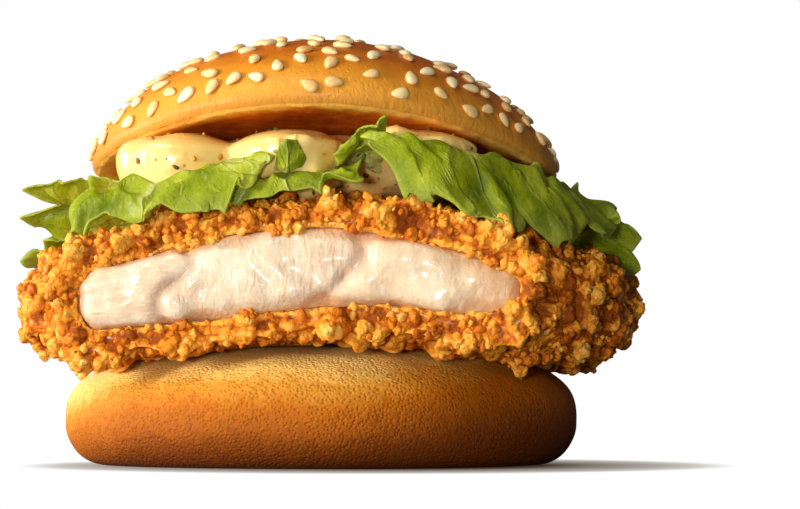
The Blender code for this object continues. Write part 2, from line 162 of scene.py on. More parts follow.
# Dressing, whose lower side sags onto the crust
DRESSING_VOXEL = 0.0007
DRESSING_SAG = 0.0044
HERB_DENSITY = 30000.0
HERB_SIZES = (0.00024, 0.00080)

# Camera and studio
VIEW_DISTANCE = 0.75
VIEW_WIDTH = 0.1566
VIEW_EYE = Vector((0.0153, -VIEW_DISTANCE, 0.0160))
VIEW_AIM = Vector((0.0153, 0.0, 0.0410))
SHADOW_CENTRE = (0.0110, 0.0, 0.0)
SHADOW_HALF = (0.0720, 0.0750, 1.0)
LAMPS = {
    "key": ((-0.78, -0.46, 0.15), (0.0, 0.0, 0.045), 0.30, 8.4, (1.0, 0.98, 0.94)),
    "edge": ((-0.70, 0.18, 0.10), (0.0, 0.0, 0.035), 0.30, 3.0, (1.0, 0.97, 0.92)),
    "top": ((-0.35, -0.30, 0.80), (0.0, 0.0, 0.06), 0.40, 3.0, (1.0, 0.94, 0.84)),
    "fill": ((-0.15, -0.93, 0.01), (0.0, 0.0, 0.05), 0.14, 6.4, (1.0, 0.97, 0.92)),
}


def arithmetic(operation, swapped=False):
    """An operator of two fields, or of a field and a number, that adds a Math node."""

    def joined(field, other):
        pair = (other, field) if swapped else (field, other)
        return field.tree.node("ShaderNodeMath", {"operation": operation}, dict(enumerate(pair)))

    return joined


class Field:
    """A socket of a node tree whose sums and products add Math nodes."""

    def __init__(self, tree, socket):
        self.tree = tree
        self.socket = socket

    __add__ = arithmetic("ADD")
    __radd__ = arithmetic("ADD", swapped=True)
    __sub__ = arithmetic("SUBTRACT")
    __rsub__ = arithmetic("SUBTRACT", swapped=True)
    __mul__ = arithmetic("MULTIPLY")
    __rmul__ = arithmetic("MULTIPLY", swapped=True)


class Tree:
    """A node tree in the making."""

    def __init__(self, nodes):
        self.nodes = nodes

    def node(self, kind, settings=None, sockets=None, output=0):
        made = self.nodes.nodes.new(kind)
        for name, value in (settings or {}).items():
            if name == "stops":
                fill_ramp(made.color_ramp, value)
            else:
                setattr(made, name, value)
        for key, value in (sockets or {}).items():
            if isinstance(value, Field):
                self.nodes.links.new(value.socket, made.inputs[key])
            else:
                made.inputs[key].default_value = value
        return Field(self, made.outputs[output]) if len(made.outputs) else made


def fill_ramp(ramp, stops):
    while len(ramp.elements) < len(stops):
        ramp.elements.new(0.5)
    for element, (position, *colour) in zip(ramp.elements, stops):
        element.position = position
        element.color = rgb(*colour)


class Look(Tree):
    """A material in the making, patterned on Object coordinates."""

    def __init__(self, name):
        self.material = bpy.data.materials.new(name)
        self.material.use_nodes = True
        super().__init__(self.material.node_tree)
        self.nodes.nodes.clear()
        self.place = self.node("ShaderNodeTexCoord", output="Object")

    def grain(self, size, detail=3.0, roughness=0.55, twist=0.0, at=None):
        sockets = {"Vector": at or self.place, "Scale": 1.0 / size, "Detail": detail}
        sockets.update({"Roughness": roughness, "Distortion": twist})
        return self.node("ShaderNodeTexNoise", {}, sockets)

    def cells(self, size, at=None):
        return self.node("ShaderNodeTexVoronoi", {}, {"Vector": at or self.place, "Scale": 1.0 / size})

    def stretched(self, turn, scale):
        return self.node("ShaderNodeMapping", {}, {"Vector": self.place, "Rotation": turn, "Scale": scale})

    def attribute(self, name):
        return self.node("ShaderNodeAttribute", {"attribute_name": name}, output="Fac")

    def axis(self, letter):
        return self.node("ShaderNodeSeparateXYZ", {}, {"Vector": self.place}, output=letter)

    def step(self, value, low, high):
        sockets = {"Value": value, "From Min": low, "From Max": high}
        return self.node("ShaderNodeMapRange", {"interpolation_type": "SMOOTHSTEP"}, sockets)

    def ramp(self, value, *stops):
        """A colour ramp of stops that each give a position and a display colour."""
        return self.node("ShaderNodeValToRGB", {"stops": stops}, {"Fac": value})

    def mix(self, factor, first, second):
        return self.node("ShaderNodeMix", {"data_type": "RGBA"}, {0: factor, 6: first, 7: second}, output=2)

    def bump(self, height, distance, strength):
        sockets = {"Height": height, "Distance": distance, "Strength": strength}
        return self.node("ShaderNodeBump", {}, sockets)

    def surface(self, sockets):
        return self.node("ShaderNodeBsdfPrincipled", {}, sockets)

    def finish(self, shader):
        self.node("ShaderNodeOutputMaterial", {}, {"Surface": shader})
        return self.material

    def coated(self, sockets):
        return self.finish(self.surface(sockets))


def depth_glow(weight, radius, scale):
    """Sockets of a surface for the light that spreads beneath it."""
    return {"Subsurface Weight": weight, "Subsurface Radius": radius, "Subsurface Scale": scale}


def rgb(red, green, blue):
    """A display colour, 0 to 255, as the linear colour that a shader takes."""
    return (*(((c / 255 + 0.055) / 1.055) ** 2.4 if c > 10 else c / 3295 for c in (red, green, blue)), 1.0)


# Meshes


def smoothstep(t):
    t = min(max(t, 0.0), 1.0)
    return t * t * (3.0 - 2.0 * t)


def mesh_from(bm, name):
    mesh = bpy.data.meshes.new(name)
    bm.to_mesh(mesh)
    bm.free()
    return mesh


def placed(name, data):
    thing = bpy.data.objects.new(name, data)
    bpy.context.scene.collection.objects.link(thing)
    return thing


def evaluated(thing):
    """The object's mesh with its modifiers in it; the object itself goes."""
    graph = bpy.context.evaluated_depsgraph_get()
    mesh = bpy.data.meshes.new_from_object(thing.evaluated_get(graph))
    bpy.data.objects.remove(thing)
    return mesh


def merged_copy(node):
    """The CAD node's mesh with its loose triangles joined."""
    bm = bmesh.new()
    bm.from_mesh(frame["nodes"][node].data)
    bmesh.ops.remove_doubles(bm, verts=bm.verts, dist=0.000002)
    return bm


def fused(name, bm, voxel, rounds):
    """One skin over the overlapping bodies of a mesh, with its corners worn down."""
    thing = placed(name, mesh_from(bm, name))
    fuse = thing.modifiers.new("fuse", "REMESH")
    fuse.mode, fuse.voxel_size = "VOXEL", voxel
    wear = thing.modifiers.new("wear", "SMOOTH")
    wear.factor, wear.iterations = 0.5, rounds
    return evaluated(thing)


def rows_of(items, key):
    flat = np.empty(len(items) * 3, dtype=np.float32)
    items.foreach_get(key, flat)
    return flat.reshape(-1, 3)


def points_of(mesh):
    return rows_of(mesh.vertices, "co")


def normals_of(mesh):
    return rows_of(mesh.vertex_normals, "vector")


def move_points(mesh, points):
    mesh.vertices.foreach_set("co", np.asarray(points, dtype=np.float32).ravel())
    mesh.update()


def push_out(mesh, heights):
    """Moves each vertex along its normal."""
    move_points(mesh, points_of(mesh) + normals_of(mesh) * np.asarray(heights, dtype=np.float32)[:, None])


def record(mesh, **layers):
    """Keeps numbers for each vertex, which a material or a geometry tree reads by name."""
    for name, values in layers.items():
        layer = mesh.attributes.new(name, "FLOAT", "POINT")
        layer.data.foreach_set("value", np.asarray(values, dtype=np.float32))


def tree_of(mesh):
    corners = [tuple(face.vertices) for face in mesh.polygons]
    return BVHTree.FromPolygons([vertex.co for vertex in mesh.vertices], corners)


def finished(name, mesh, look, node):
    """A piece of the burger that stands for a CAD node."""
    mesh.materials.clear()
    mesh.materials.append(look)
    mesh.shade_smooth()
    thing = placed(name, mesh)
    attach(thing, "root")
    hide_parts(node)
    return thing


def lathed(profile, name):
    """A closed turned body of (radius, height) points, listed from the top centre to the bottom centre."""
    bm = bmesh.new()
    top, bottom = bm.verts.new((0.0, 0.0, profile[0][1])), bm.verts.new((0.0, 0.0, profile[-1][1]))
    rings = []
    for radius, height in profile[1:-1]:
        turns = [2 * math.pi * i / BUN_STEPS for i in range(BUN_STEPS)]
        rings.append([bm.verts.new((radius * math.cos(t), radius * math.sin(t), height)) for t in turns])
    for i in range(BUN_STEPS):
        j = (i + 1) % BUN_STEPS
        bm.faces.new((top, rings[0][i], rings[0][j]))
        bm.faces.new((bottom, rings[-1][j], rings[-1][i]))
        for upper, lower in zip(rings, rings[1:]):
            bm.faces.new((upper[i], lower[i], lower[j], upper[j]))
    bmesh.ops.recalc_face_normals(bm, faces=bm.faces)
    return mesh_from(bm, name)


# Geometry Nodes


class Growth(Tree):
    """A geometry tree with named inputs, which scatters or places small pieces."""

    def __init__(self, name, **inputs):
        group = bpy.data.node_groups.new(name, "GeometryNodeTree")
        super().__init__(group)
        for label, kind in {"Geometry": "Geometry", **inputs}.items():
            group.interface.new_socket(label, in_out="INPUT", socket_type="NodeSocket" + kind)
        group.interface.new_socket("Geometry", in_out="OUTPUT", socket_type="NodeSocketGeometry")
        self.entry = group.nodes.new("NodeGroupInput")

    def given(self, label):
        return Field(self, self.entry.outputs[label])

    def share(self, seed):
        """A random number from 0 to 1 for each copy."""
        span = {2: 0.0, 3: 1.0, "Seed": seed}
        return self.node("FunctionNodeRandomValue", {"data_type": "FLOAT"}, span, output=1)

    def named(self, name, kind="FLOAT"):
        """An attribute of the host."""
        return self.node("GeometryNodeInputNamedAttribute", {"data_type": kind}, {"Name": name})

    def end(self, points, shape, turn, size, seed, pick=False):
        """Turned and sized copies on the points, each with a random tone, as one mesh with the finish."""
        copies = self.node("GeometryNodeInstanceOnPoints", {}, {
            "Points": points, "Instance": shape, "Pick Instance": pick, "Scale": size,
            "Rotation": self.node("FunctionNodeEulerToRotation", {}, {"Euler": turn}),
        })
        kept = {"data_type": "FLOAT", "domain": "INSTANCE"}
        named = {"Geometry": copies, "Name": "tone", "Value": self.share(seed)}
        toned = self.node("GeometryNodeStoreNamedAttribute", kept, named)
        real = self.node("GeometryNodeRealizeInstances", {}, {"Geometry": toned})
        coated = {"Geometry": real, "Material": self.given("Finish")}
        self.node("NodeGroupOutput", {}, {"Geometry": self.node("GeometryNodeSetMaterial", {}, coated)})
        return self.nodes


def grown(name, host, group, **values):
    """The plain mesh that a geometry tree makes on a host mesh."""
    thing = placed(name, host)
    modifier = thing.modifiers.new(name, "NODES")
    modifier.node_group = group
    for item in group.interface.items_tree:
        if item.in_out == "INPUT" and item.name in values:
            modifier[item.identifier] = values[item.name]
    return evaluated(thing)


def scatter_tree():
    """Small pieces from a collection, spread over a surface by its "room" attribute."""
    tree = Growth(
        "scatter", Pieces="Collection", Density="Float", Smallest="Float", Largest="Float",
        Seed="Int", Finish="Material",
    )
    spread = tree.node("GeometryNodeDistributePointsOnFaces", {"distribute_method": "RANDOM"}, {
        "Mesh": tree.given("Geometry"),
        "Density": tree.named("room") * tree.given("Density"),
        "Seed": tree.given("Seed"),
    })
    pieces = tree.node("GeometryNodeCollectionInfo", {}, {
        "Collection": tree.given("Pieces"), "Separate Children": True, "Reset Children": True,
    })
    turn = tree.node("FunctionNodeRandomValue", {"data_type": "FLOAT_VECTOR"}, {
        "Min": (0.0, 0.0, 0.0), "Max": (6.283, 6.283, 6.283), "Seed": tree.given("Seed") + 1,
    })
    share = tree.share(tree.given("Seed") + 2)
    size = tree.given("Smallest") + (tree.given("Largest") - tree.given("Smallest")) * (share * share)
    return tree.end(spread, pieces, turn, size, tree.given("Seed") + 3, pick=True)


def placing_tree():
    """One shape on each point of the host, turned and sized by its attributes "turn" and "size"."""
    tree = Growth("placing", Shape="Object", Finish="Material")
    turn, size = tree.named("turn", "FLOAT_VECTOR"), tree.named("size")
    shape = tree.node("GeometryNodeObjectInfo", {}, {"Object": tree.given("Shape")}, output="Geometry")
    return tree.end(tree.given("Geometry"), shape, turn, size, 5)


# Materials


def bread_look():
    """Lower bun: pale shoulder, golden side that browns towards the foot, partly its own baking and partly
    painted light and shade; painted light at the left end, painted shade to the right; fine pores with
    painted shade in them.
    """
    look = Look("bread")
    patches = look.grain(0.016, 4.0, 0.6)
    mottle = look.grain(0.0016, 3.0, 0.7)
    across = look.axis("X")
    # Height pales the shoulder and browns the foot, partly the bread's own baking and partly painted light
    # on the shoulder under the crust and painted shade at the foot; the steps on X are painted light at the
    # left end and painted shade to the right.
    level = look.axis("Z") * 930.0 + look.step(across, -0.030, -0.052) * 6.0
    level = level - look.step(across, 0.0, 0.050) * 5.5
    level = level + (patches - 0.5) * 5.0 + (mottle - 0.5) * 5.0
    base = look.ramp(
        look.step(level, 0.0, 22.0),
        (0.00, 104, 46, 4), (0.22, 160, 82, 8), (0.48, 188, 104, 14),
        (0.74, 214, 146, 48), (0.92, 254, 214, 118), (1.00, 255, 228, 142),
    )
    # pores sink in the bump, and painted shade darkens them in the colour.
    pores = look.step(look.cells(0.0007), 0.60, 0.10)
    relief = mottle - pores * 0.6 + look.grain(0.006, 2.0) * 0.6
    return look.coated({
        "Base Color": look.mix(pores * 0.20, base, rgb(150, 78, 8)),
        "Roughness": look.step(mottle, 0.0, 1.0) * 0.15 + 0.55,
        "Normal": look.bump(relief, 0.00032, 0.8),
        **depth_glow(0.10, (0.6, 0.3, 0.12), 0.003),
        "Specular IOR Level": 0.12,
    })


def glazed_look():
    """Upper bun: pale, finely wrinkled rim, deep glazed brown above, toasted brown below, with painted
    shade that darkens the glaze towards the right side.
    """
    look = Look("glazed_bread")
    patches = look.grain(0.012, 4.0, 0.6, 0.4)
    fine = look.grain(0.0018, 3.0, 0.7)
    rise = look.attribute("rise")
    # The X term is painted shade: the glaze darker towards the right side, lighter at the left.
    crust = look.ramp(
        rise + look.axis("X") * 4.0 + (patches - 0.5) * 0.28 + (fine - 0.5) * 0.08,
        (0.00, 216, 146, 58), (0.18, 228, 158, 58), (0.42, 220, 142, 40),
        (0.68, 208, 112, 14), (0.92, 204, 100, 4),
    )
    toast = look.ramp(
        look.grain(0.004, 4.0, 0.7) * 0.6 + look.attribute("hem") * 0.55,
        (0.25, 196, 94, 6), (0.50, 236, 138, 20), (0.80, 254, 192, 86),
    )
    below = look.step(look.attribute("under"), 0.3, 0.7)
    wrinkled = look.grain(0.0016, 3.0, 0.6, 0.5, at=look.stretched((0.0, 0.0, 0.0), (1.0, 1.0, 0.45)))
    pores = look.cells(0.0013)
    relief = fine * 0.5 - look.step(pores, 0.3, 0.02) * 0.3 + look.grain(0.007, 2.0) * 0.9
    relief = relief + wrinkled * look.step(rise, 0.55, 0.10) * 1.6
    crumbly = look.grain(0.0025, 5.0, 0.75) * 2.4
    shape = look.node("ShaderNodeMix", {"data_type": "FLOAT"}, {0: below, 2: relief, 3: crumbly})
    return look.coated({
        "Base Color": look.mix(below, crust, toast),
        "Roughness": below * 0.35 + fine * 0.12 + 0.34,
        "Coat Weight": 0.06 - below * 0.06,
        "Coat Roughness": 0.3,
        "Normal": look.bump(shape, 0.00035, 0.6),
        **depth_glow(0.08, (0.6, 0.3, 0.12), 0.003),
        "Specular IOR Level": 0.10,
    })


def seed_look():
    look = Look("sesame")
    base = look.ramp(
        look.attribute("tone") * 0.8 + look.grain(0.0012, 2.0) * 0.3,
        (0.10, 230, 180, 104), (0.50, 248, 214, 148), (0.95, 255, 236, 188),
    )
    return look.coated({
        "Base Color": base,
        "Roughness": look.grain(0.001) * 0.2 + 0.3,
        "Coat Weight": 0.2,
        "Normal": look.bump(look.grain(0.0006, 2.0), 0.0001, 0.4),
        **depth_glow(0.2, (1.0, 0.7, 0.4), 0.001),
    })


def batter_look(name, paleness):
    """Fried batter: orange gold on the lumps and oily, with painted shade that browns the creases and the
    right side, and painted light that pales the crests.
    """
    look = Look(name)
    fine = look.grain(0.0009, 4.0, 0.7)
    patches = look.grain(0.008, 3.0, 0.6)
    crest = look.attribute("crest")
    warped = look.node("ShaderNodeVectorMath", {"operation": "MULTIPLY_ADD"}, {
        0: look.node("ShaderNodeTexNoise", {}, {"Vector": look.place, "Scale": 700.0}, output="Color"),
        1: (0.0012, 0.0012, 0.0012), 2: look.place,
    })
    knobs = look.cells(0.0015, at=warped)
    # Painted light and shade: crest pales the crests and browns the creases, the knobs' creases darken
    # further, and the step on X darkens the right side; tone, fine and patches are the batter's own.
    level = crest * 0.80 + look.attribute("tone") * 0.12 + (fine - 0.5) * 0.34 + (patches - 0.5) * 0.34
    level = level - look.step(knobs, 0.45, 0.85) * 0.28 - look.step(look.axis("X"), 0.030, 0.060) * 0.12
    base = look.ramp(
        level + paleness,
        (0.02, 152, 72, 6), (0.25, 212, 118, 18), (0.48, 244, 160, 46),
        (0.74, 248, 176, 68), (1.00, 252, 200, 104),
    )
    fried = look.step(look.grain(0.006, 3.0, 0.6, 0.5), 0.52, 0.74)
    reddened = look.mix(fried * 0.22, base, rgb(226, 116, 20))
    relief = knobs * -1.4 + look.cells(0.0007) * -0.4 + fine * 0.6
    return look.coated({
        "Base Color": reddened,
        "Roughness": 0.66 - look.step(look.grain(0.0025), 0.3, 0.7) * crest * 0.36,
        "Coat Weight": look.step(look.grain(0.003), 0.42, 0.60) * crest * 0.5,
        "Coat Roughness": 0.18,
        "Normal": look.bump(relief, 0.0006, 0.8),
        "Specular IOR Level": 0.16,
        **depth_glow(0.15, (1.0, 0.45, 0.10), 0.0015),
    })


def crumb_look():
    look = Look("batter_crumbs")
    level = look.attribute("tone") * 0.8 + look.grain(0.0012, 3.0, 0.7) * 0.3
    base = look.ramp(
        level,
        (0.10, 184, 90, 6), (0.40, 222, 126, 22), (0.72, 240, 156, 44),
        (1.00, 248, 184, 84),
    )
    return look.coated({
        "Base Color": base,
        "Roughness": look.grain(0.001) * 0.3 + 0.35,
        "Coat Weight": 0.15,
        "Specular IOR Level": 0.2,
        "Normal": look.bump(look.grain(0.0005, 3.0, 0.7), 0.0003, 0.7),
        **depth_glow(0.25, (1.0, 0.5, 0.15), 0.001),
    })


def meat_look():
    """Cooked chicken: moist and pinkish white, in three bundles whose fibres run different ways, with
    painted shade in the creases between them.
    """
    look = Look("cooked_chicken")
    left, right, crease = look.attribute("left"), look.attribute("right"), look.attribute("crease")
    upright = look.stretched((0.0, math.radians(14.0), 0.0), (1.0, 1.0, 0.28))
    flat = look.stretched((0.0, math.radians(-14.0), 0.0), (0.28, 1.0, 1.0))
    upright_fibres = look.grain(0.0015, 4.0, 0.6, 0.6, at=upright)
    flat_fibres = look.grain(0.0015, 4.0, 0.6, 0.6, at=flat)
    bundles = {0: left, 2: upright_fibres, 3: flat_fibres}
    fibres = look.node("ShaderNodeMix", {"data_type": "FLOAT"}, bundles)
    clouds = look.grain(0.010, 3.0, 0.5)
    base = look.ramp(
        fibres * 0.5 + clouds * 0.5,
        (0.25, 208, 174, 140), (0.48, 224, 201, 170), (0.70, 240, 224, 198),
    )
    pink = look.mix(look.step(look.grain(0.014, 2.0), 0.52, 0.72) * 0.34, base, rgb(212, 166, 140))
    yellowed = look.mix(right * 0.30, pink, rgb(232, 198, 146))
    # Painted shade: darker in the creases between the bundles.
    crease_shade_painted = look.mix(crease * 0.45, yellowed, rgb(196, 146, 120))
    browned = look.mix(look.attribute("edge") * 0.6, crease_shade_painted, rgb(216, 158, 104))
    specks = look.step(fibres, 0.58, 0.72)
    relief = fibres * (1.0 - right * 0.6) * 0.8 + look.grain(0.0040, 4.0, 0.6) * 1.2
    return look.coated({
        "Base Color": look.mix(specks * 0.4, browned, rgb(250, 236, 218)),
        "Roughness": 0.42 - specks * 0.16,
        "Coat Weight": look.step(look.grain(0.0022, 3.0), 0.44, 0.62) * 0.8,
        "Coat Roughness": 0.10,
        "Normal": look.bump(relief, 0.0008, 0.6),
        **depth_glow(0.35, (1.0, 0.45, 0.3), 0.003),
    })


def lettuce_look():
    """Leaf: pale by the rib, fresh green at the frilled edge with a thin paler rim that is partly its own
    and partly a painted highlight, veined, with a little light through it.
    """
    look = Look("lettuce")
    along, veins = look.attribute("along"), look.attribute("veins")
    clouds = look.grain(0.007, 3.0, 0.6)
    patches = look.grain(0.016, 2.0, 0.5, 0.6)
    level = along * 0.75 + (clouds - 0.5) * 1.1 + (patches - 0.5) * 0.9
    green = look.ramp(
        level,
        (0.05, 232, 232, 140), (0.30, 200, 208, 58), (0.58, 158, 174, 12),
        (0.95, 94, 118, 2),
    )
    veined = look.mix(veins * 0.75, green, rgb(230, 236, 144))
    # The thin paler rim along the edge is partly the leaf's own pale edge and partly a painted highlight.
    base = look.mix(look.attribute("rim") * 0.6, veined, rgb(214, 222, 90))
    relief = look.grain(0.0026, 3.0, 0.6) + veins * 0.9 + look.grain(0.0007, 2.0) * 0.15
    bumped = look.bump(relief, 0.0009, 0.8)
    leaf = look.surface({
        "Base Color": base,
        "Roughness": look.grain(0.003) * 0.2 + 0.38,
        "Specular IOR Level": 0.2,
        "Coat Weight": 0.12,
        "Coat Roughness": 0.2,
        "Normal": bumped,
    })
    through = look.node("ShaderNodeBsdfTranslucent", {}, {
        "Color": look.mix(0.5, base, rgb(210, 224, 20)), "Normal": bumped,
    })
    return look.finish(look.node("ShaderNodeMixShader", {}, {"Fac": 0.36, 1: leaf, 2: through}))


def dressing_look():
    """Thick glossy dressing with faint clouds of colour."""
    look = Look("dressing")
    clouds = look.grain(0.006, 3.0, 0.6)
    base = look.ramp(
        clouds,
        (0.30, 248, 202, 110), (0.52, 254, 216, 130), (0.75, 255, 230, 156),
    )
    flecked = look.mix(look.step(look.cells(0.0034), 0.13, 0.06) * 0.8, base, rgb(206, 128, 26))
    return look.coated({
        "Base Color": flecked,
        "Roughness": look.grain(0.004) * 0.12 + 0.20,
        "Coat Weight": 0.4,
        "Coat Roughness": 0.12,
        "Normal": look.bump(look.grain(0.003, 3.0), 0.0003, 0.35),
        **depth_glow(0.25, (1.0, 0.65, 0.3), 0.003),
    })


def herb_look():
    look = Look("herbs")
    base = look.ramp(
        look.attribute("tone"),
        (0.15, 70, 74, 30), (0.45, 110, 96, 34), (0.60, 196, 120, 24),
        (0.90, 222, 150, 30),
    )
    return look.coated({
        "Base Color": base,
        "Roughness": look.grain(0.001) * 0.2 + 0.35,
        "Normal": look.bump(look.grain(0.0005), 0.0001, 0.4),
    })


# Buns


def base_bun(look):
    """Lower bun: a cushion with a flat foot and faint dents."""
    profile = []
    for i in range(BASE_RINGS + 1):
        turn = math.pi / 2 * (1 - i / BASE_RINGS)
        power = 2 / BASE_ROUNDNESS
        radius = BASE_RADIUS * abs(math.cos(turn)) ** power
        profile.append((radius, BASE_WIDEST_Z + (BASE_HEIGHT - BASE_WIDEST_Z) * math.sin(turn) ** power))
    profile[0] = (0.0, profile[0][1])
    fillet = BASE_RADIUS - BASE_FOOT_RADIUS
    for i in range(1, BASE_FOOT_RINGS + 1):
        turn = math.pi / 2 * i / BASE_FOOT_RINGS
        profile.append((BASE_FOOT_RADIUS + fillet * math.cos(turn), BASE_WIDEST_Z * (1 - math.sin(turn))))
    profile += [(BASE_FOOT_RADIUS * 0.6, 0.0), (0.0, 0.0)]
    mesh = lathed(profile, "bun_base_bread")
    heights = []
    for x, y, z in points_of(mesh):
        place = Vector((x, y, z))
        dents = noise.noise(place * 90.0) * 0.00035 + noise.noise(place * 300.0) * 0.00010
        heights.append((dents - 0.0002) * smoothstep(z / 0.004))
    push_out(mesh, heights)
    finished("bun_base_bread", mesh, look, "bun_base")


def arch_drop(x):
    return TOP_ARCH * ((x - TOP_ARCH_MIDDLE) / TOP_RADIUS) ** 2


def arch(point):
    """Lets the two sides of the upper bun hang lower than its middle."""
    return point - Vector((0.0, 0.0, arch_drop(point.x)))


def top_placement():
    return Matrix.Translation(TOP_CENTRE) @ Matrix.Rotation(TOP_TILT, 4, "X")


def under_top(x, y):
    """Height of the toasted face of the upper bun above a point of the plan, or None outside it."""
    flat_x, flat_y = x - TOP_CENTRE.x, (y - TOP_CENTRE.y) / math.cos(TOP_TILT)
    if math.hypot(flat_x, flat_y) > TOP_RADIUS + 0.002:
        return None
    return TOP_CENTRE.z + (y - TOP_CENTRE.y) * math.tan(TOP_TILT) - arch_drop(flat_x)


def top_bun(look):
    """Upper bun: glazed dome, rounded rim and toasted face."""
    profile = []
    for i in range(TOP_RINGS + 1):
        turn = math.pi / 2 * (1 - i / TOP_RINGS)
        profile.append((TOP_RADIUS * math.cos(turn), TOP_RIM + TOP_HEIGHT * math.sin(turn)))
    profile[0] = (0.0, profile[0][1])
    for i in range(1, TOP_RIM_RINGS + 1):
        turn = math.pi / 2 * i / TOP_RIM_RINGS
        profile.append((TOP_RADIUS - TOP_RIM * (1 - math.cos(turn)), TOP_RIM * (1 - math.sin(turn))))
    profile += [(TOP_RADIUS * (0.92 - 0.08 * i), 0.0) for i in range(11)]
    profile.append((0.0, 0.0))
    mesh = lathed(profile, "bun_top_bread")
    heights, rise, under, hem = [], [], [], []
    for x, y, z in points_of(mesh):
        place = Vector((x, y, z))
        reach = math.hypot(x, y) / TOP_RADIUS
        below = 1.0 - smoothstep(z / 0.0012)
        dents = noise.noise(place * 70.0) * 0.00045 + noise.noise(place * 260.0) * 0.00012
        crumbs = noise.fractal(place * 350.0, 1.0, 2.0, 4) * 0.00045
        heights.append(dents * (1 - below) + crumbs * below - 0.0002)
        rise.append(max(0.0, z - TOP_RIM * 0.3) / TOP_HEIGHT)
        under.append(below * (1.0 if reach < 0.985 else 0.0))
        hem.append(smoothstep((reach - 0.86) / 0.10))
    record(mesh, rise=rise, under=under, hem=hem)
    push_out(mesh, heights)
    placement = top_placement()
    move_points(mesh, [placement @ arch(Vector(point)) for point in points_of(mesh)])
    finished("bun_top_bread", mesh, look, "bun_top")


def seed_places(rng):
    """Points and headings of the seeds on the dome: a loosened golden spiral that ends above the rim."""
    golden = math.pi * (3.0 - math.sqrt(5.0))
    places = []
    for i in range(SEED_COUNT):
        fall = math.pi / 2 * SEED_REACH * ((i + 0.5) / SEED_COUNT) ** SEED_CROWDING
        reach = TOP_RADIUS * math.sin(fall)
        x = reach * math.cos(i * golden) + rng.uniform(-SEED_SPREAD, SEED_SPREAD)
        y = reach * math.sin(i * golden) + rng.uniform(-SEED_SPREAD, SEED_SPREAD)
        places.append(on_dome(x, y, rng))
    return places


def on_dome(x, y, rng):
    """Where a seed lies on the dome above a point of the plan, with its heading and size."""
    share = min(math.hypot(x, y) / TOP_RADIUS, SEED_LOWEST)
    turn = math.atan2(y, x)
    steep = math.asin(math.sqrt(1 - share * share))
    radius, height = TOP_RADIUS * math.cos(steep), TOP_RIM + TOP_HEIGHT * math.sin(steep)
    point = Vector((radius * math.cos(turn), radius * math.sin(turn), height))
    rise = (height - TOP_RIM) / TOP_HEIGHT**2
    normal = Vector((point.x / TOP_RADIUS**2, point.y / TOP_RADIUS**2, rise))
    return point, normal.normalized(), rng.uniform(0.0, 2 * math.pi), rng.uniform(*SEED_SIZES)


def extra_seed_places(places, rng):
    """More seeds on the steep side of the dome, clear of the others, which the part's source leaves out."""
    extra = []
    while len(extra) < SEED_EXTRA:
        fall = math.pi / 2 * rng.uniform(0.45, SEED_REACH)
        turn = rng.uniform(0.0, 2 * math.pi)
        reach = TOP_RADIUS * math.sin(fall)
        place = on_dome(reach * math.cos(turn), reach * math.sin(turn), rng)
        if all((place[0] - other[0]).length > SEED_CLEARANCE for other in places + extra):
            extra.append(place)
    return extra


def seed_shape():
    bm = bmesh.new()
    bmesh.ops.create_uvsphere(bm, u_segments=14, v_segments=8, radius=1.0)
    for vertex in bm.verts:
        vertex.co.y *= 1.0 - SEED_NARROWING * vertex.co.x
        vertex.co.z *= 1.0 - 0.25 * vertex.co.x
        vertex.co *= SEED_HALF
    return placed("seed_shape", mesh_from(bm, "seed_shape"))


def seeds(look):
    """Sesame seeds, half sunk in the glaze."""
    placement = top_placement()
    points, turns, sizes = [], [], []
    places = seed_places(random.Random(3))
    for point, normal, heading, scale in places + extra_seed_places(places, random.Random(8)):
        upright = normal.to_track_quat("Z", "Y").to_matrix().to_4x4()
        matrix = Matrix.Translation(arch(point) + normal * SEED_HALF.z * SEED_RISE) @ upright
        matrix = placement @ matrix @ Matrix.Rotation(heading, 4, "Z")
        points.append(matrix.translation)
        turns += list(matrix.to_euler())
        sizes.append(scale)
    host = bpy.data.meshes.new("seed_points")
    host.from_pydata(points, [], [])
    host.attributes.new("turn", "FLOAT_VECTOR", "POINT").data.foreach_set("vector", turns)
    record(host, size=sizes)
    shape = seed_shape()
    mesh = grown("sesame_seeds", host, placing_tree(), Shape=shape, Finish=look)
    bpy.data.objects.remove(shape)
    finished("sesame_seeds", mesh, look, "bun_top")


# Chicken


def plug_pocket(bm):
    """Fills the back of the meat's pocket, where nothing shows, so that the crust needs no inner skin."""
    plug = merged_copy("chicken_meat")
    plug.normal_update()
    for vertex in plug.verts:
        vertex.co += vertex.normal * POCKET_SWELL
        vertex.co.y = max(vertex.co.y, POCKET_END)
    bm.from_mesh(mesh_from(plug, "plug"))


def nodule(place, size):
    """Rounded lumps with sharp creases between them: 0 in a crease to 1 on a crest."""
    distance = noise.voronoi(place / size)[0][0]
    return math.sqrt(max(0.0, 1.0 - (distance / 0.85) ** 2))


def crust_height(place):
    place = place + wander(place * 230.0) * 0.0008
    rough = 0.7 + 0.5 * noise.noise(place * 60.0)
    return nodule(place, CRUST_NODULE) * CRUST_NODULE_DEPTH * rough - CRUST_SINK


def ball(subdivisions):
    """Points and faces of a round ball of radius 1."""
    bm = bmesh.new()
    bmesh.ops.create_icosphere(bm, subdivisions=subdivisions, radius=1.0)
    points = [vertex.co.copy() for vertex in bm.verts]
    faces = [[vertex.index for vertex in face.verts] for face in bm.faces]
    bm.free()
    return points, faces


def near(place, trees, *reaches):
    """Whether a point is within reach of the meat or, with a second reach, of the lower bun."""
    return any(tree.find_nearest(place, reach)[0] for tree, reach in zip(trees, reaches))


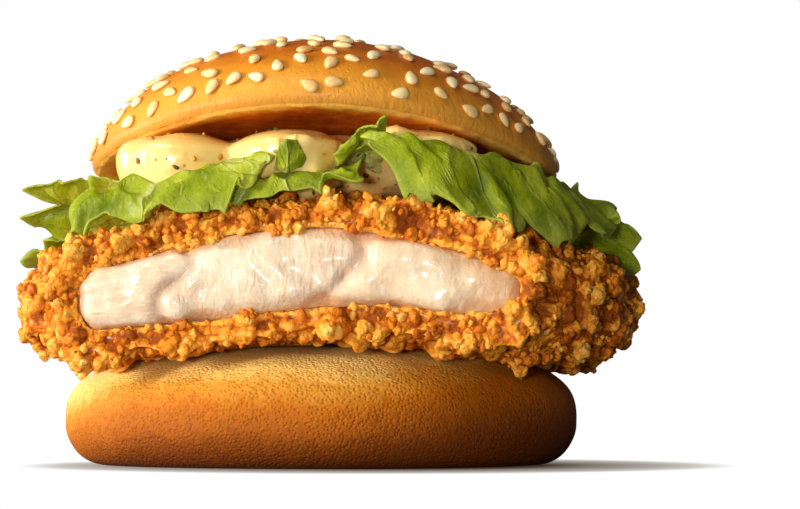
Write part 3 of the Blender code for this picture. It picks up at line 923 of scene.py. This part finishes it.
def add_lumps(bm, trees, rng):
    """Rounded lumps of batter, half sunk in the skin wherever it shows."""
    skin = list(bm.faces)
    ball_points, ball_faces = ball(2)
    points, faces = [], []
    for face in rng.choices(skin, weights=[face.calc_area() for face in skin], k=CRUST_LUMPS):
        low, high = sorted((rng.random(), rng.random()))
        first, second, third = (vertex.co for vertex in face.verts)
        place = first * low + second * (high - low) + third * (1 - high)
        radius = CRUST_LUMP_RADIUS[0] + (CRUST_LUMP_RADIUS[1] - CRUST_LUMP_RADIUS[0]) * rng.random() ** 1.6
        size = Vector([radius * rng.uniform(0.65, 1.15) for _ in range(3)])
        turn = Euler([rng.uniform(0.0, math.pi) for _ in range(3)]).to_matrix().to_4x4()
        if near(place, trees, 0.0007, 0.0010):
            continue
        sunk = place - face.normal * radius * CRUST_LUMP_SINK
        matrix = Matrix.Translation(sunk) @ turn @ Matrix.Diagonal((*size, 1.0))
        faces += [[corner + len(points) for corner in corners] for corners in ball_faces]
        points += [matrix @ point for point in ball_points]
    lumps = bpy.data.meshes.new("lumps")
    lumps.from_pydata(points, [], faces)
    bm.from_mesh(lumps)


def gap(tree, place, reach):
    """Distance from a point to a mesh, at most the reach."""
    distance = tree.find_nearest(place, reach)[3]
    return reach if distance is None else distance


def crust(trees):
    """The fried crust, one skin with lumps, open round the cut meat."""
    bm = merged_copy("chicken_coating")
    bm.normal_update()
    add_lumps(bm, trees, random.Random(17))
    plug_pocket(bm)
    mesh = fused("chicken_crust", bm, CRUST_VOXEL, 1)
    heights = []
    for point in points_of(mesh):
        place = Vector(point)
        free_of_meat = smoothstep(gap(trees[0], place, 0.003) / 0.0012)
        free_of_bun = smoothstep(gap(trees[1], place, 0.003) / 0.0020)
        height = crust_height(place) * free_of_meat * free_of_bun
        heights.append(height + MEAT_OVERLAP * (1 - free_of_meat))
    push_out(mesh, heights)
    # crest drives painted shade in the crust's creases and painted light on its crests.
    record(mesh, crest=crest_of(mesh))
    return mesh


def crest_of(mesh):
    """How far each vertex stands out, 0 in a deep crease to 1 on a sharp crest.

    CREST_ROUNDS has the rounds of smoothing to compare with and the weight of each.
    """
    points, normals = points_of(mesh), normals_of(mesh)
    ends = np.empty(len(mesh.edges) * 2, dtype=np.int64)
    mesh.edges.foreach_get("vertices", ends)
    first, second = ends.reshape(-1, 2).T
    count = np.bincount(first, minlength=len(points)) + np.bincount(second, minlength=len(points))
    smooth = points.astype(np.float64)
    total = np.zeros(len(points))
    for number in range(1, max(CREST_ROUNDS) + 1):
        summed = np.zeros_like(smooth)
        for axis in range(3):
            summed[:, axis] = np.bincount(first, smooth[second, axis], len(points))
            summed[:, axis] += np.bincount(second, smooth[first, axis], len(points))
        smooth = summed / count[:, None]
        if number in CREST_ROUNDS:
            total += np.einsum("ij,ij->i", points - smooth, normals) * CREST_ROUNDS[number]
    low, high = np.percentile(total, (4, 96))
    return np.clip((total - low) / (high - low), 0.0, 1.0)


def collected(name, meshes):
    """A collection of loose shapes for a scatter."""
    shapes = bpy.data.collections.new(name)
    bpy.context.scene.collection.children.link(shapes)
    for mesh in meshes:
        shapes.objects.link(bpy.data.objects.new(mesh.name, mesh))
    return shapes


def crumb_shapes(rng, roughness):
    """Six irregular crumbs, from flakes to nuggets."""
    meshes = []
    for i in range(6):
        bm = bmesh.new()
        bmesh.ops.create_icosphere(bm, subdivisions=2, radius=1.0)
        squash = Vector((1.0, rng.uniform(0.6, 1.0), rng.uniform(CRUMB_FLATNESS, 0.85)))
        offset = Vector((i * 5.0, 3.0, 1.0))
        for vertex in bm.verts:
            vertex.co *= 1.0 + roughness * noise.noise(vertex.co * 1.6 + offset)
            vertex.co *= squash
        meshes.append(mesh_from(bm, f"crumb_{i}"))
    return collected("crumb_shapes", meshes)


def nugget_shapes(rng):
    """Eight knobbly nuggets; "lobe" tells their knobs, 1, from the creases between them, 0."""
    points, faces = ball(3)
    meshes = []
    for i in range(8):
        lobes = [Vector([rng.gauss(0.0, 1.0) for _ in range(3)]).normalized() for _ in range(NUGGET_LOBES)]
        squash = Vector((1.0, rng.uniform(0.7, 1.0), rng.uniform(0.55, 0.85)))
        made, strengths = [], []
        for point in points:
            nearest = min(point.angle(lobe) for lobe in lobes) / NUGGET_LOBE_ANGLE
            strength = math.sqrt(max(0.0, 1.0 - nearest * nearest))
            rough = 0.16 * noise.noise(point * 2.4 + Vector((i * 7.0, 1.0, 4.0)))
            made.append(point * (0.62 + 0.38 * strength + rough) * squash)
            strengths.append(strength)
        mesh = bpy.data.meshes.new(f"nugget_{i}")
        mesh.from_pydata(made, [], faces)
        record(mesh, lobe=strengths)
        meshes.append(mesh)
    return collected("nugget_shapes", meshes)


def scattered(name, host, shapes, density, sizes, seed, look):
    """Copies of the shapes all over a host by its "room" attribute, as one mesh; the shapes go."""
    mesh = grown(
        name, host, scatter_tree(),
        Pieces=shapes, Density=density, Smallest=sizes[0], Largest=sizes[1], Seed=seed, Finish=look,
    )
    for thing in list(shapes.objects):
        bpy.data.objects.remove(thing)
    bpy.data.collections.remove(shapes)
    return mesh


def nuggets(name, look, crust_mesh, trees, density, at_front):
    """Knobbly nuggets of batter, half sunk in the crust, on its front or on its back."""
    host = crust_mesh.copy()
    room = []
    for point in points_of(host):
        place = Vector(point)
        wanted = (place.y < NUGGET_BORDER) == at_front
        room.append(1.0 if wanted and not near(place, trees, 0.0010, 0.0026) else 0.0)
    record(host, room=room)
    skin = tree_of(host)
    mesh = scattered(name, host, nugget_shapes(random.Random(31)), density, NUGGET_SIZES, 12, look)
    # crest is low where a nugget meets the crust and in the creases between its knobs; the batter paints
    # shade there with it.
    crests = []
    for point, lobe in zip(points_of(mesh), mesh.attributes["lobe"].data):
        foot, normal = skin.find_nearest(point)[:2]
        stand = smoothstep((Vector(point) - foot).dot(normal) / NUGGET_STAND)
        crests.append(stand * (0.35 + 0.65 * lobe.value))
    record(mesh, crest=crests)
    finished(name, mesh, look, "chicken_coating")


def crumbs(look, crust_mesh, trees):
    """Loose crumbs baked onto the crust, thickest at the front and round the cut."""
    host = crust_mesh.copy()
    room = []
    for point in points_of(host):
        place = Vector(point)
        front = smoothstep((0.012 - place.y) / 0.03)
        rimward = 1.6 if near(place, trees, CRUMB_RIM) else 0.0
        room.append(0.0 if near(place, trees, 0.0002, 0.0014) else 0.22 + (0.70 + rimward) * front)
    record(host, room=room)
    shapes = crumb_shapes(random.Random(11), 0.62)
    mesh = scattered("chicken_crumbs", host, shapes, CRUMB_DENSITY, CRUMB_SIZES, 4, look)
    finished("chicken_crumbs", mesh, look, "chicken_coating")


def meat(look):
    """The cut meat: three bundles of fibre with slanting creases between them."""
    mesh = fused("chicken_flesh", merged_copy("chicken_meat"), MEAT_VOXEL, 4)
    heights, edges, lefts, rights, creases = [], [], [], [], []
    for point in points_of(mesh):
        place = Vector(point)
        ahead = place.dot(CUT_NORMAL) - CUT_DISTANCE
        along = (place - CUT_NORMAL * CUT_DISTANCE).dot(CUT_SIDEWAYS)
        front = smoothstep((ahead + 0.004) / 0.006)
        sway = along - MEAT_SLANT * (place.z - MEAT_MIDDLE_Z) + 0.0060 * noise.noise(place * 120.0)
        left = 1.0 - smoothstep((sway - MEAT_CREASES[0]) / 0.004 + 0.5)
        right = smoothstep((sway - MEAT_CREASES[1]) / 0.004 + 0.5)
        crease = sum(math.exp(-(((sway - middle) / MEAT_CREASE_HALF) ** 2)) for middle in MEAT_CREASES)
        upright = noise.noise(Vector((along * 420.0 + place.z * 130.0, ahead * 200.0, place.z * 70.0)))
        lying = place.z * 430.0 + along * 110.0
        flat = noise.noise(Vector((along * 80.0 - place.z * 60.0, ahead * 200.0, lying)))
        bundle = noise.noise(Vector((along * 110.0, ahead * 80.0, place.z * 150.0)))
        slanted = along * 260.0 + place.z * 160.0
        bundle += 0.5 * noise.noise(Vector((slanted, ahead * 90.0, place.z * 300.0)))
        fibre = (upright + (flat - upright) * left) * (1.0 - 0.7 * right)
        heights.append(front * (fibre * 0.00020 + bundle * 0.0008 - crease * MEAT_CREASE_DEPTH))
        edges.append(1.0 - smoothstep((ahead + 0.0005) / 0.0022))
        lefts.append(left)
        rights.append(right)
        creases.append(crease * front)
    record(mesh, edge=edges, left=lefts, right=rights, crease=creases)
    push_out(mesh, heights)
    finished("chicken_flesh", mesh, look, "chicken_meat")


# Lettuce


def droop(x, y):
    """How far the chicken hangs down over the sides and the back of the bun, at a point of the plan."""
    sideways = SIDE_DROOP * smoothstep(abs(x) / SIDE_DROOP_REACH)
    return sideways + BACK_DROOP * smoothstep(y / BACK_DROOP_REACH)


def wander(place):
    """Three smooth noises at a point as a vector, the same in every run."""
    return Vector([noise.noise(place + offset) for offset in NOISE_OFFSETS])


def leaf_point(across, along, shape, salt):
    """A point of a leaf's middle surface: across from -1 to 1, along from 0 inside to 1 at its rim."""
    turn, roll = math.radians(shape.bearing), math.radians(shape.roll)
    outward = Vector((math.cos(turn), math.sin(turn), 0.0))
    sideways = Vector((-math.sin(turn) * math.cos(roll), math.cos(turn) * math.cos(roll), math.sin(roll)))
    length, grow = shape.outer - shape.inner, along * along
    reach = shape.inner + length * along * (1.0 - 0.16 * across * across)
    reach += shape.tip * grow * max(0.0, 1.0 - 1.8 * abs(across))
    half = 0.5 * shape.width * (1.0 - shape.taper * along)
    half *= 0.72 + 0.28 * math.sin(math.pi * (0.15 + 0.75 * along))
    rise = shape.low + (shape.edge - shape.low) * along
    rise += shape.bulge * math.sin(math.pi * along**1.5)
    spot = Vector((across * half, along * length, salt))
    folds = wander(spot / LEAF_FOLD) * shape.ruffle * (0.5 + grow)
    rim = max(along**4, abs(across) ** 6)
    size = min(1.0, shape.width / 0.030)
    frill = wander(spot / LEAF_FRILL) * LEAF_FRILL_DEPTH * rim * size
    blister = noise.noise(spot / LEAF_BLISTER) * LEAF_BLISTER_DEPTH
    blister += (0.35 - abs(noise.noise(spot / LEAF_CREASE))) * LEAF_CREASE_DEPTH * size
    point = outward * reach + sideways * half * across + folds + frill
    ahead = max(0.0, point.dot(CUT_NORMAL) - CUT_DISTANCE)
    point -= CUT_NORMAL * ahead * (1.0 - LEAF_OVERHANG)
    point.z += rise + blister - droop(point.x, point.y)
    return point


def vein_strength(across, along, salt):
    """A midrib that thins out, with side veins that branch from it."""
    sway = 0.05 * noise.noise(Vector((along * 4.0, salt, 2.0)))
    mid = abs(across - sway)
    rib = math.exp(-((mid / (0.10 * (1.1 - along))) ** 2))
    bend = 0.3 * noise.noise(Vector((across * 3.0, along * 3.0, salt)))
    branch = abs(math.sin(math.pi * (5.0 * along - 3.0 * mid + bend)))
    side = max(0.0, 1.0 - branch / 0.16) * (1.0 - 0.6 * along)
    return min(1.0, rib + 0.7 * side)


def floor_under(trees, x, y, reach):
    """Height of the highest thing under a point of the plan and its near surroundings, or None."""
    found = []
    for step_x, step_y in ((0.0, 0.0), (reach, 0.0), (-reach, 0.0), (0.0, reach), (0.0, -reach)):
        start = Vector((x + step_x, y + step_y, 0.2))
        for tree in trees:
            hit = tree.ray_cast(start, Vector((0.0, 0.0, -1.0)))[0]
            if hit:
                found.append(hit.z)
    return max(found, default=None)


def leaf(name, shape, below, look, salt):
    """A thin frilled leaf that lies on what is below it and stays under the upper bun."""
    bm = bmesh.new()
    bmesh.ops.create_grid(bm, x_segments=LEAF_ACROSS - 1, y_segments=LEAF_ALONG - 1, size=1.0)
    ways, veins, rims = [], [], []
    for vertex in bm.verts:
        across, along = vertex.co.x, (vertex.co.y + 1.0) / 2
        ways.append(along)
        veins.append(vein_strength(across, along, salt * 34.0))
        rims.append(max(along**20, abs(across) ** 30))
        point = leaf_point(across, along, shape, salt)
        ceiling = under_top(point.x, point.y)
        if ceiling is not None:
            point.z = min(point.z, ceiling - LEAF_GAP - LEAF_THICKNESS / 2)
        floor = floor_under(below, point.x, point.y, LEAF_REACH)
        if floor is not None:
            point.z = max(point.z, floor + LEAF_GAP + LEAF_THICKNESS / 2)
        vertex.co = point
    mesh = mesh_from(bm, name)
    record(mesh, along=ways, veins=veins, rim=rims)
    thing = placed(name, mesh)
    relax = thing.modifiers.new("relax", "SMOOTH")
    relax.factor, relax.iterations = 0.5, 1
    wall = thing.modifiers.new("wall", "SOLIDIFY")
    wall.thickness, wall.offset = LEAF_THICKNESS, 0.0
    mesh = evaluated(thing)
    finished(name + "_leaf", mesh, look, name)
    return mesh


def lettuce(look, crust_mesh):
    below = [tree_of(crust_mesh)]
    for order, (name, values) in enumerate(LEAVES.items()):
        mesh = leaf("lettuce_" + name, Leaf(*values), below, look, order * LEAF_SALT)
        below.append(tree_of(mesh))


# Dressing


def dressing(look, herbs):
    """Glossy lumps of dressing with herb flecks set in them."""
    mesh = fused("dressing_lumps", merged_copy("sauce"), DRESSING_VOXEL, 14)
    heights = [0.0004 + 0.00035 * noise.noise(Vector(point) * 160.0) for point in points_of(mesh)]
    push_out(mesh, heights)
    sunk = points_of(mesh)
    sunk[:, 2] -= DRESSING_SAG * np.clip(-normals_of(mesh)[:, 2], 0.0, 1.0)
    move_points(mesh, sunk)
    host = mesh.copy()
    record(host, room=np.ones(len(host.vertices)))
    shapes = crumb_shapes(random.Random(23), 0.42)
    flecks = scattered("dressing_herbs", host, shapes, HERB_DENSITY, HERB_SIZES, 9, herbs)
    finished("dressing_lumps", mesh, look, "sauce")
    finished("dressing_herbs", flecks, herbs, "sauce")


# Studio


def floor_look():
    """White floor with a soft oval shadow painted on it for the camera; other rays meet dull grey."""
    look = Look("floor")
    spread = {0: look.place, 1: SHADOW_CENTRE}
    offset = look.node("ShaderNodeVectorMath", {"operation": "SUBTRACT"}, spread)
    scaled = look.node("ShaderNodeVectorMath", {"operation": "DIVIDE"}, {0: offset, 1: SHADOW_HALF})
    reach = look.node("ShaderNodeVectorMath", {"operation": "LENGTH"}, {0: scaled}, output="Value")
    tint = look.ramp(
        reach,
        (0.45, 60, 50, 40), (0.62, 140, 130, 120), (0.76, 172, 166, 158),
        (0.87, 206, 201, 194), (0.97, 255, 255, 255),
    )
    seen = look.node("ShaderNodeLightPath", output="Is Camera Ray")
    painted = look.node("ShaderNodeEmission", {}, {"Color": tint, "Strength": 1.0})
    dull = look.node("ShaderNodeBsdfDiffuse", {}, {"Color": (0.35, 0.35, 0.35, 1.0)})
    return look.finish(look.node("ShaderNodeMixShader", {}, {"Fac": seen, 1: dull, 2: painted}))


def aimed(name, data, place, aim):
    """A lamp or camera that looks from a place at another."""
    thing = placed(name, data)
    thing.location = place
    thing.rotation_euler = (Vector(aim) - Vector(place)).to_track_quat("-Z", "Y").to_euler()
    return thing


def lamp(name, place, aim, size, power, colour):
    data = bpy.data.lights.new(name, "AREA")
    data.shape, data.size, data.energy, data.color = "DISK", size, power, colour
    aimed(name, data, place, aim)


def studio():
    bm = bmesh.new()
    bmesh.ops.create_grid(bm, x_segments=1, y_segments=1, size=3.0)
    ground = placed("floor", mesh_from(bm, "floor"))
    ground.location.z = -0.0002
    ground.data.materials.append(floor_look())

    world = bpy.data.worlds.new("studio")
    bpy.context.scene.world = world
    world.use_nodes = True
    sky = Tree(world.node_tree)
    world.node_tree.nodes.clear()
    seen = sky.node("ShaderNodeLightPath", output="Is Camera Ray")
    light = {"Color": (1.0, 1.0, 1.0, 1.0), "Strength": seen * 0.92 + 0.08}
    glow = sky.node("ShaderNodeBackground", {}, light)
    sky.node("ShaderNodeOutputWorld", {}, {"Surface": glow})

    for name, values in LAMPS.items():
        lamp(name, *values)

    camera = bpy.data.cameras.new("camera")
    camera.sensor_width = 36.0
    camera.lens = 36.0 * (VIEW_AIM - VIEW_EYE).length / VIEW_WIDTH
    camera.clip_start = 0.01
    bpy.context.scene.camera = aimed("camera", camera, VIEW_EYE, VIEW_AIM)
    bpy.context.scene.view_settings.view_transform = "Standard"


def main():
    trees = [tree_of(mesh_from(merged_copy(node), node + "_tree")) for node in ("chicken_meat", "bun_base")]
    base_bun(bread_look())
    crust_mesh = crust(trees)
    meat(meat_look())
    lettuce(lettuce_look(), crust_mesh)
    crumbs(crumb_look(), crust_mesh, trees)
    lumpy = batter_look("batter_nuggets", 0.02)
    nuggets("chicken_nuggets", lumpy, crust_mesh, trees, NUGGET_FRONT_DENSITY, True)
    nuggets("chicken_back_nuggets", lumpy, crust_mesh, trees, NUGGET_BACK_DENSITY, False)
    finished("chicken_crust", crust_mesh, batter_look("batter", -0.02), "chicken_coating")
    dressing(dressing_look(), herb_look())
    top_bun(glazed_look())
    seeds(seed_look())
    studio()


main()
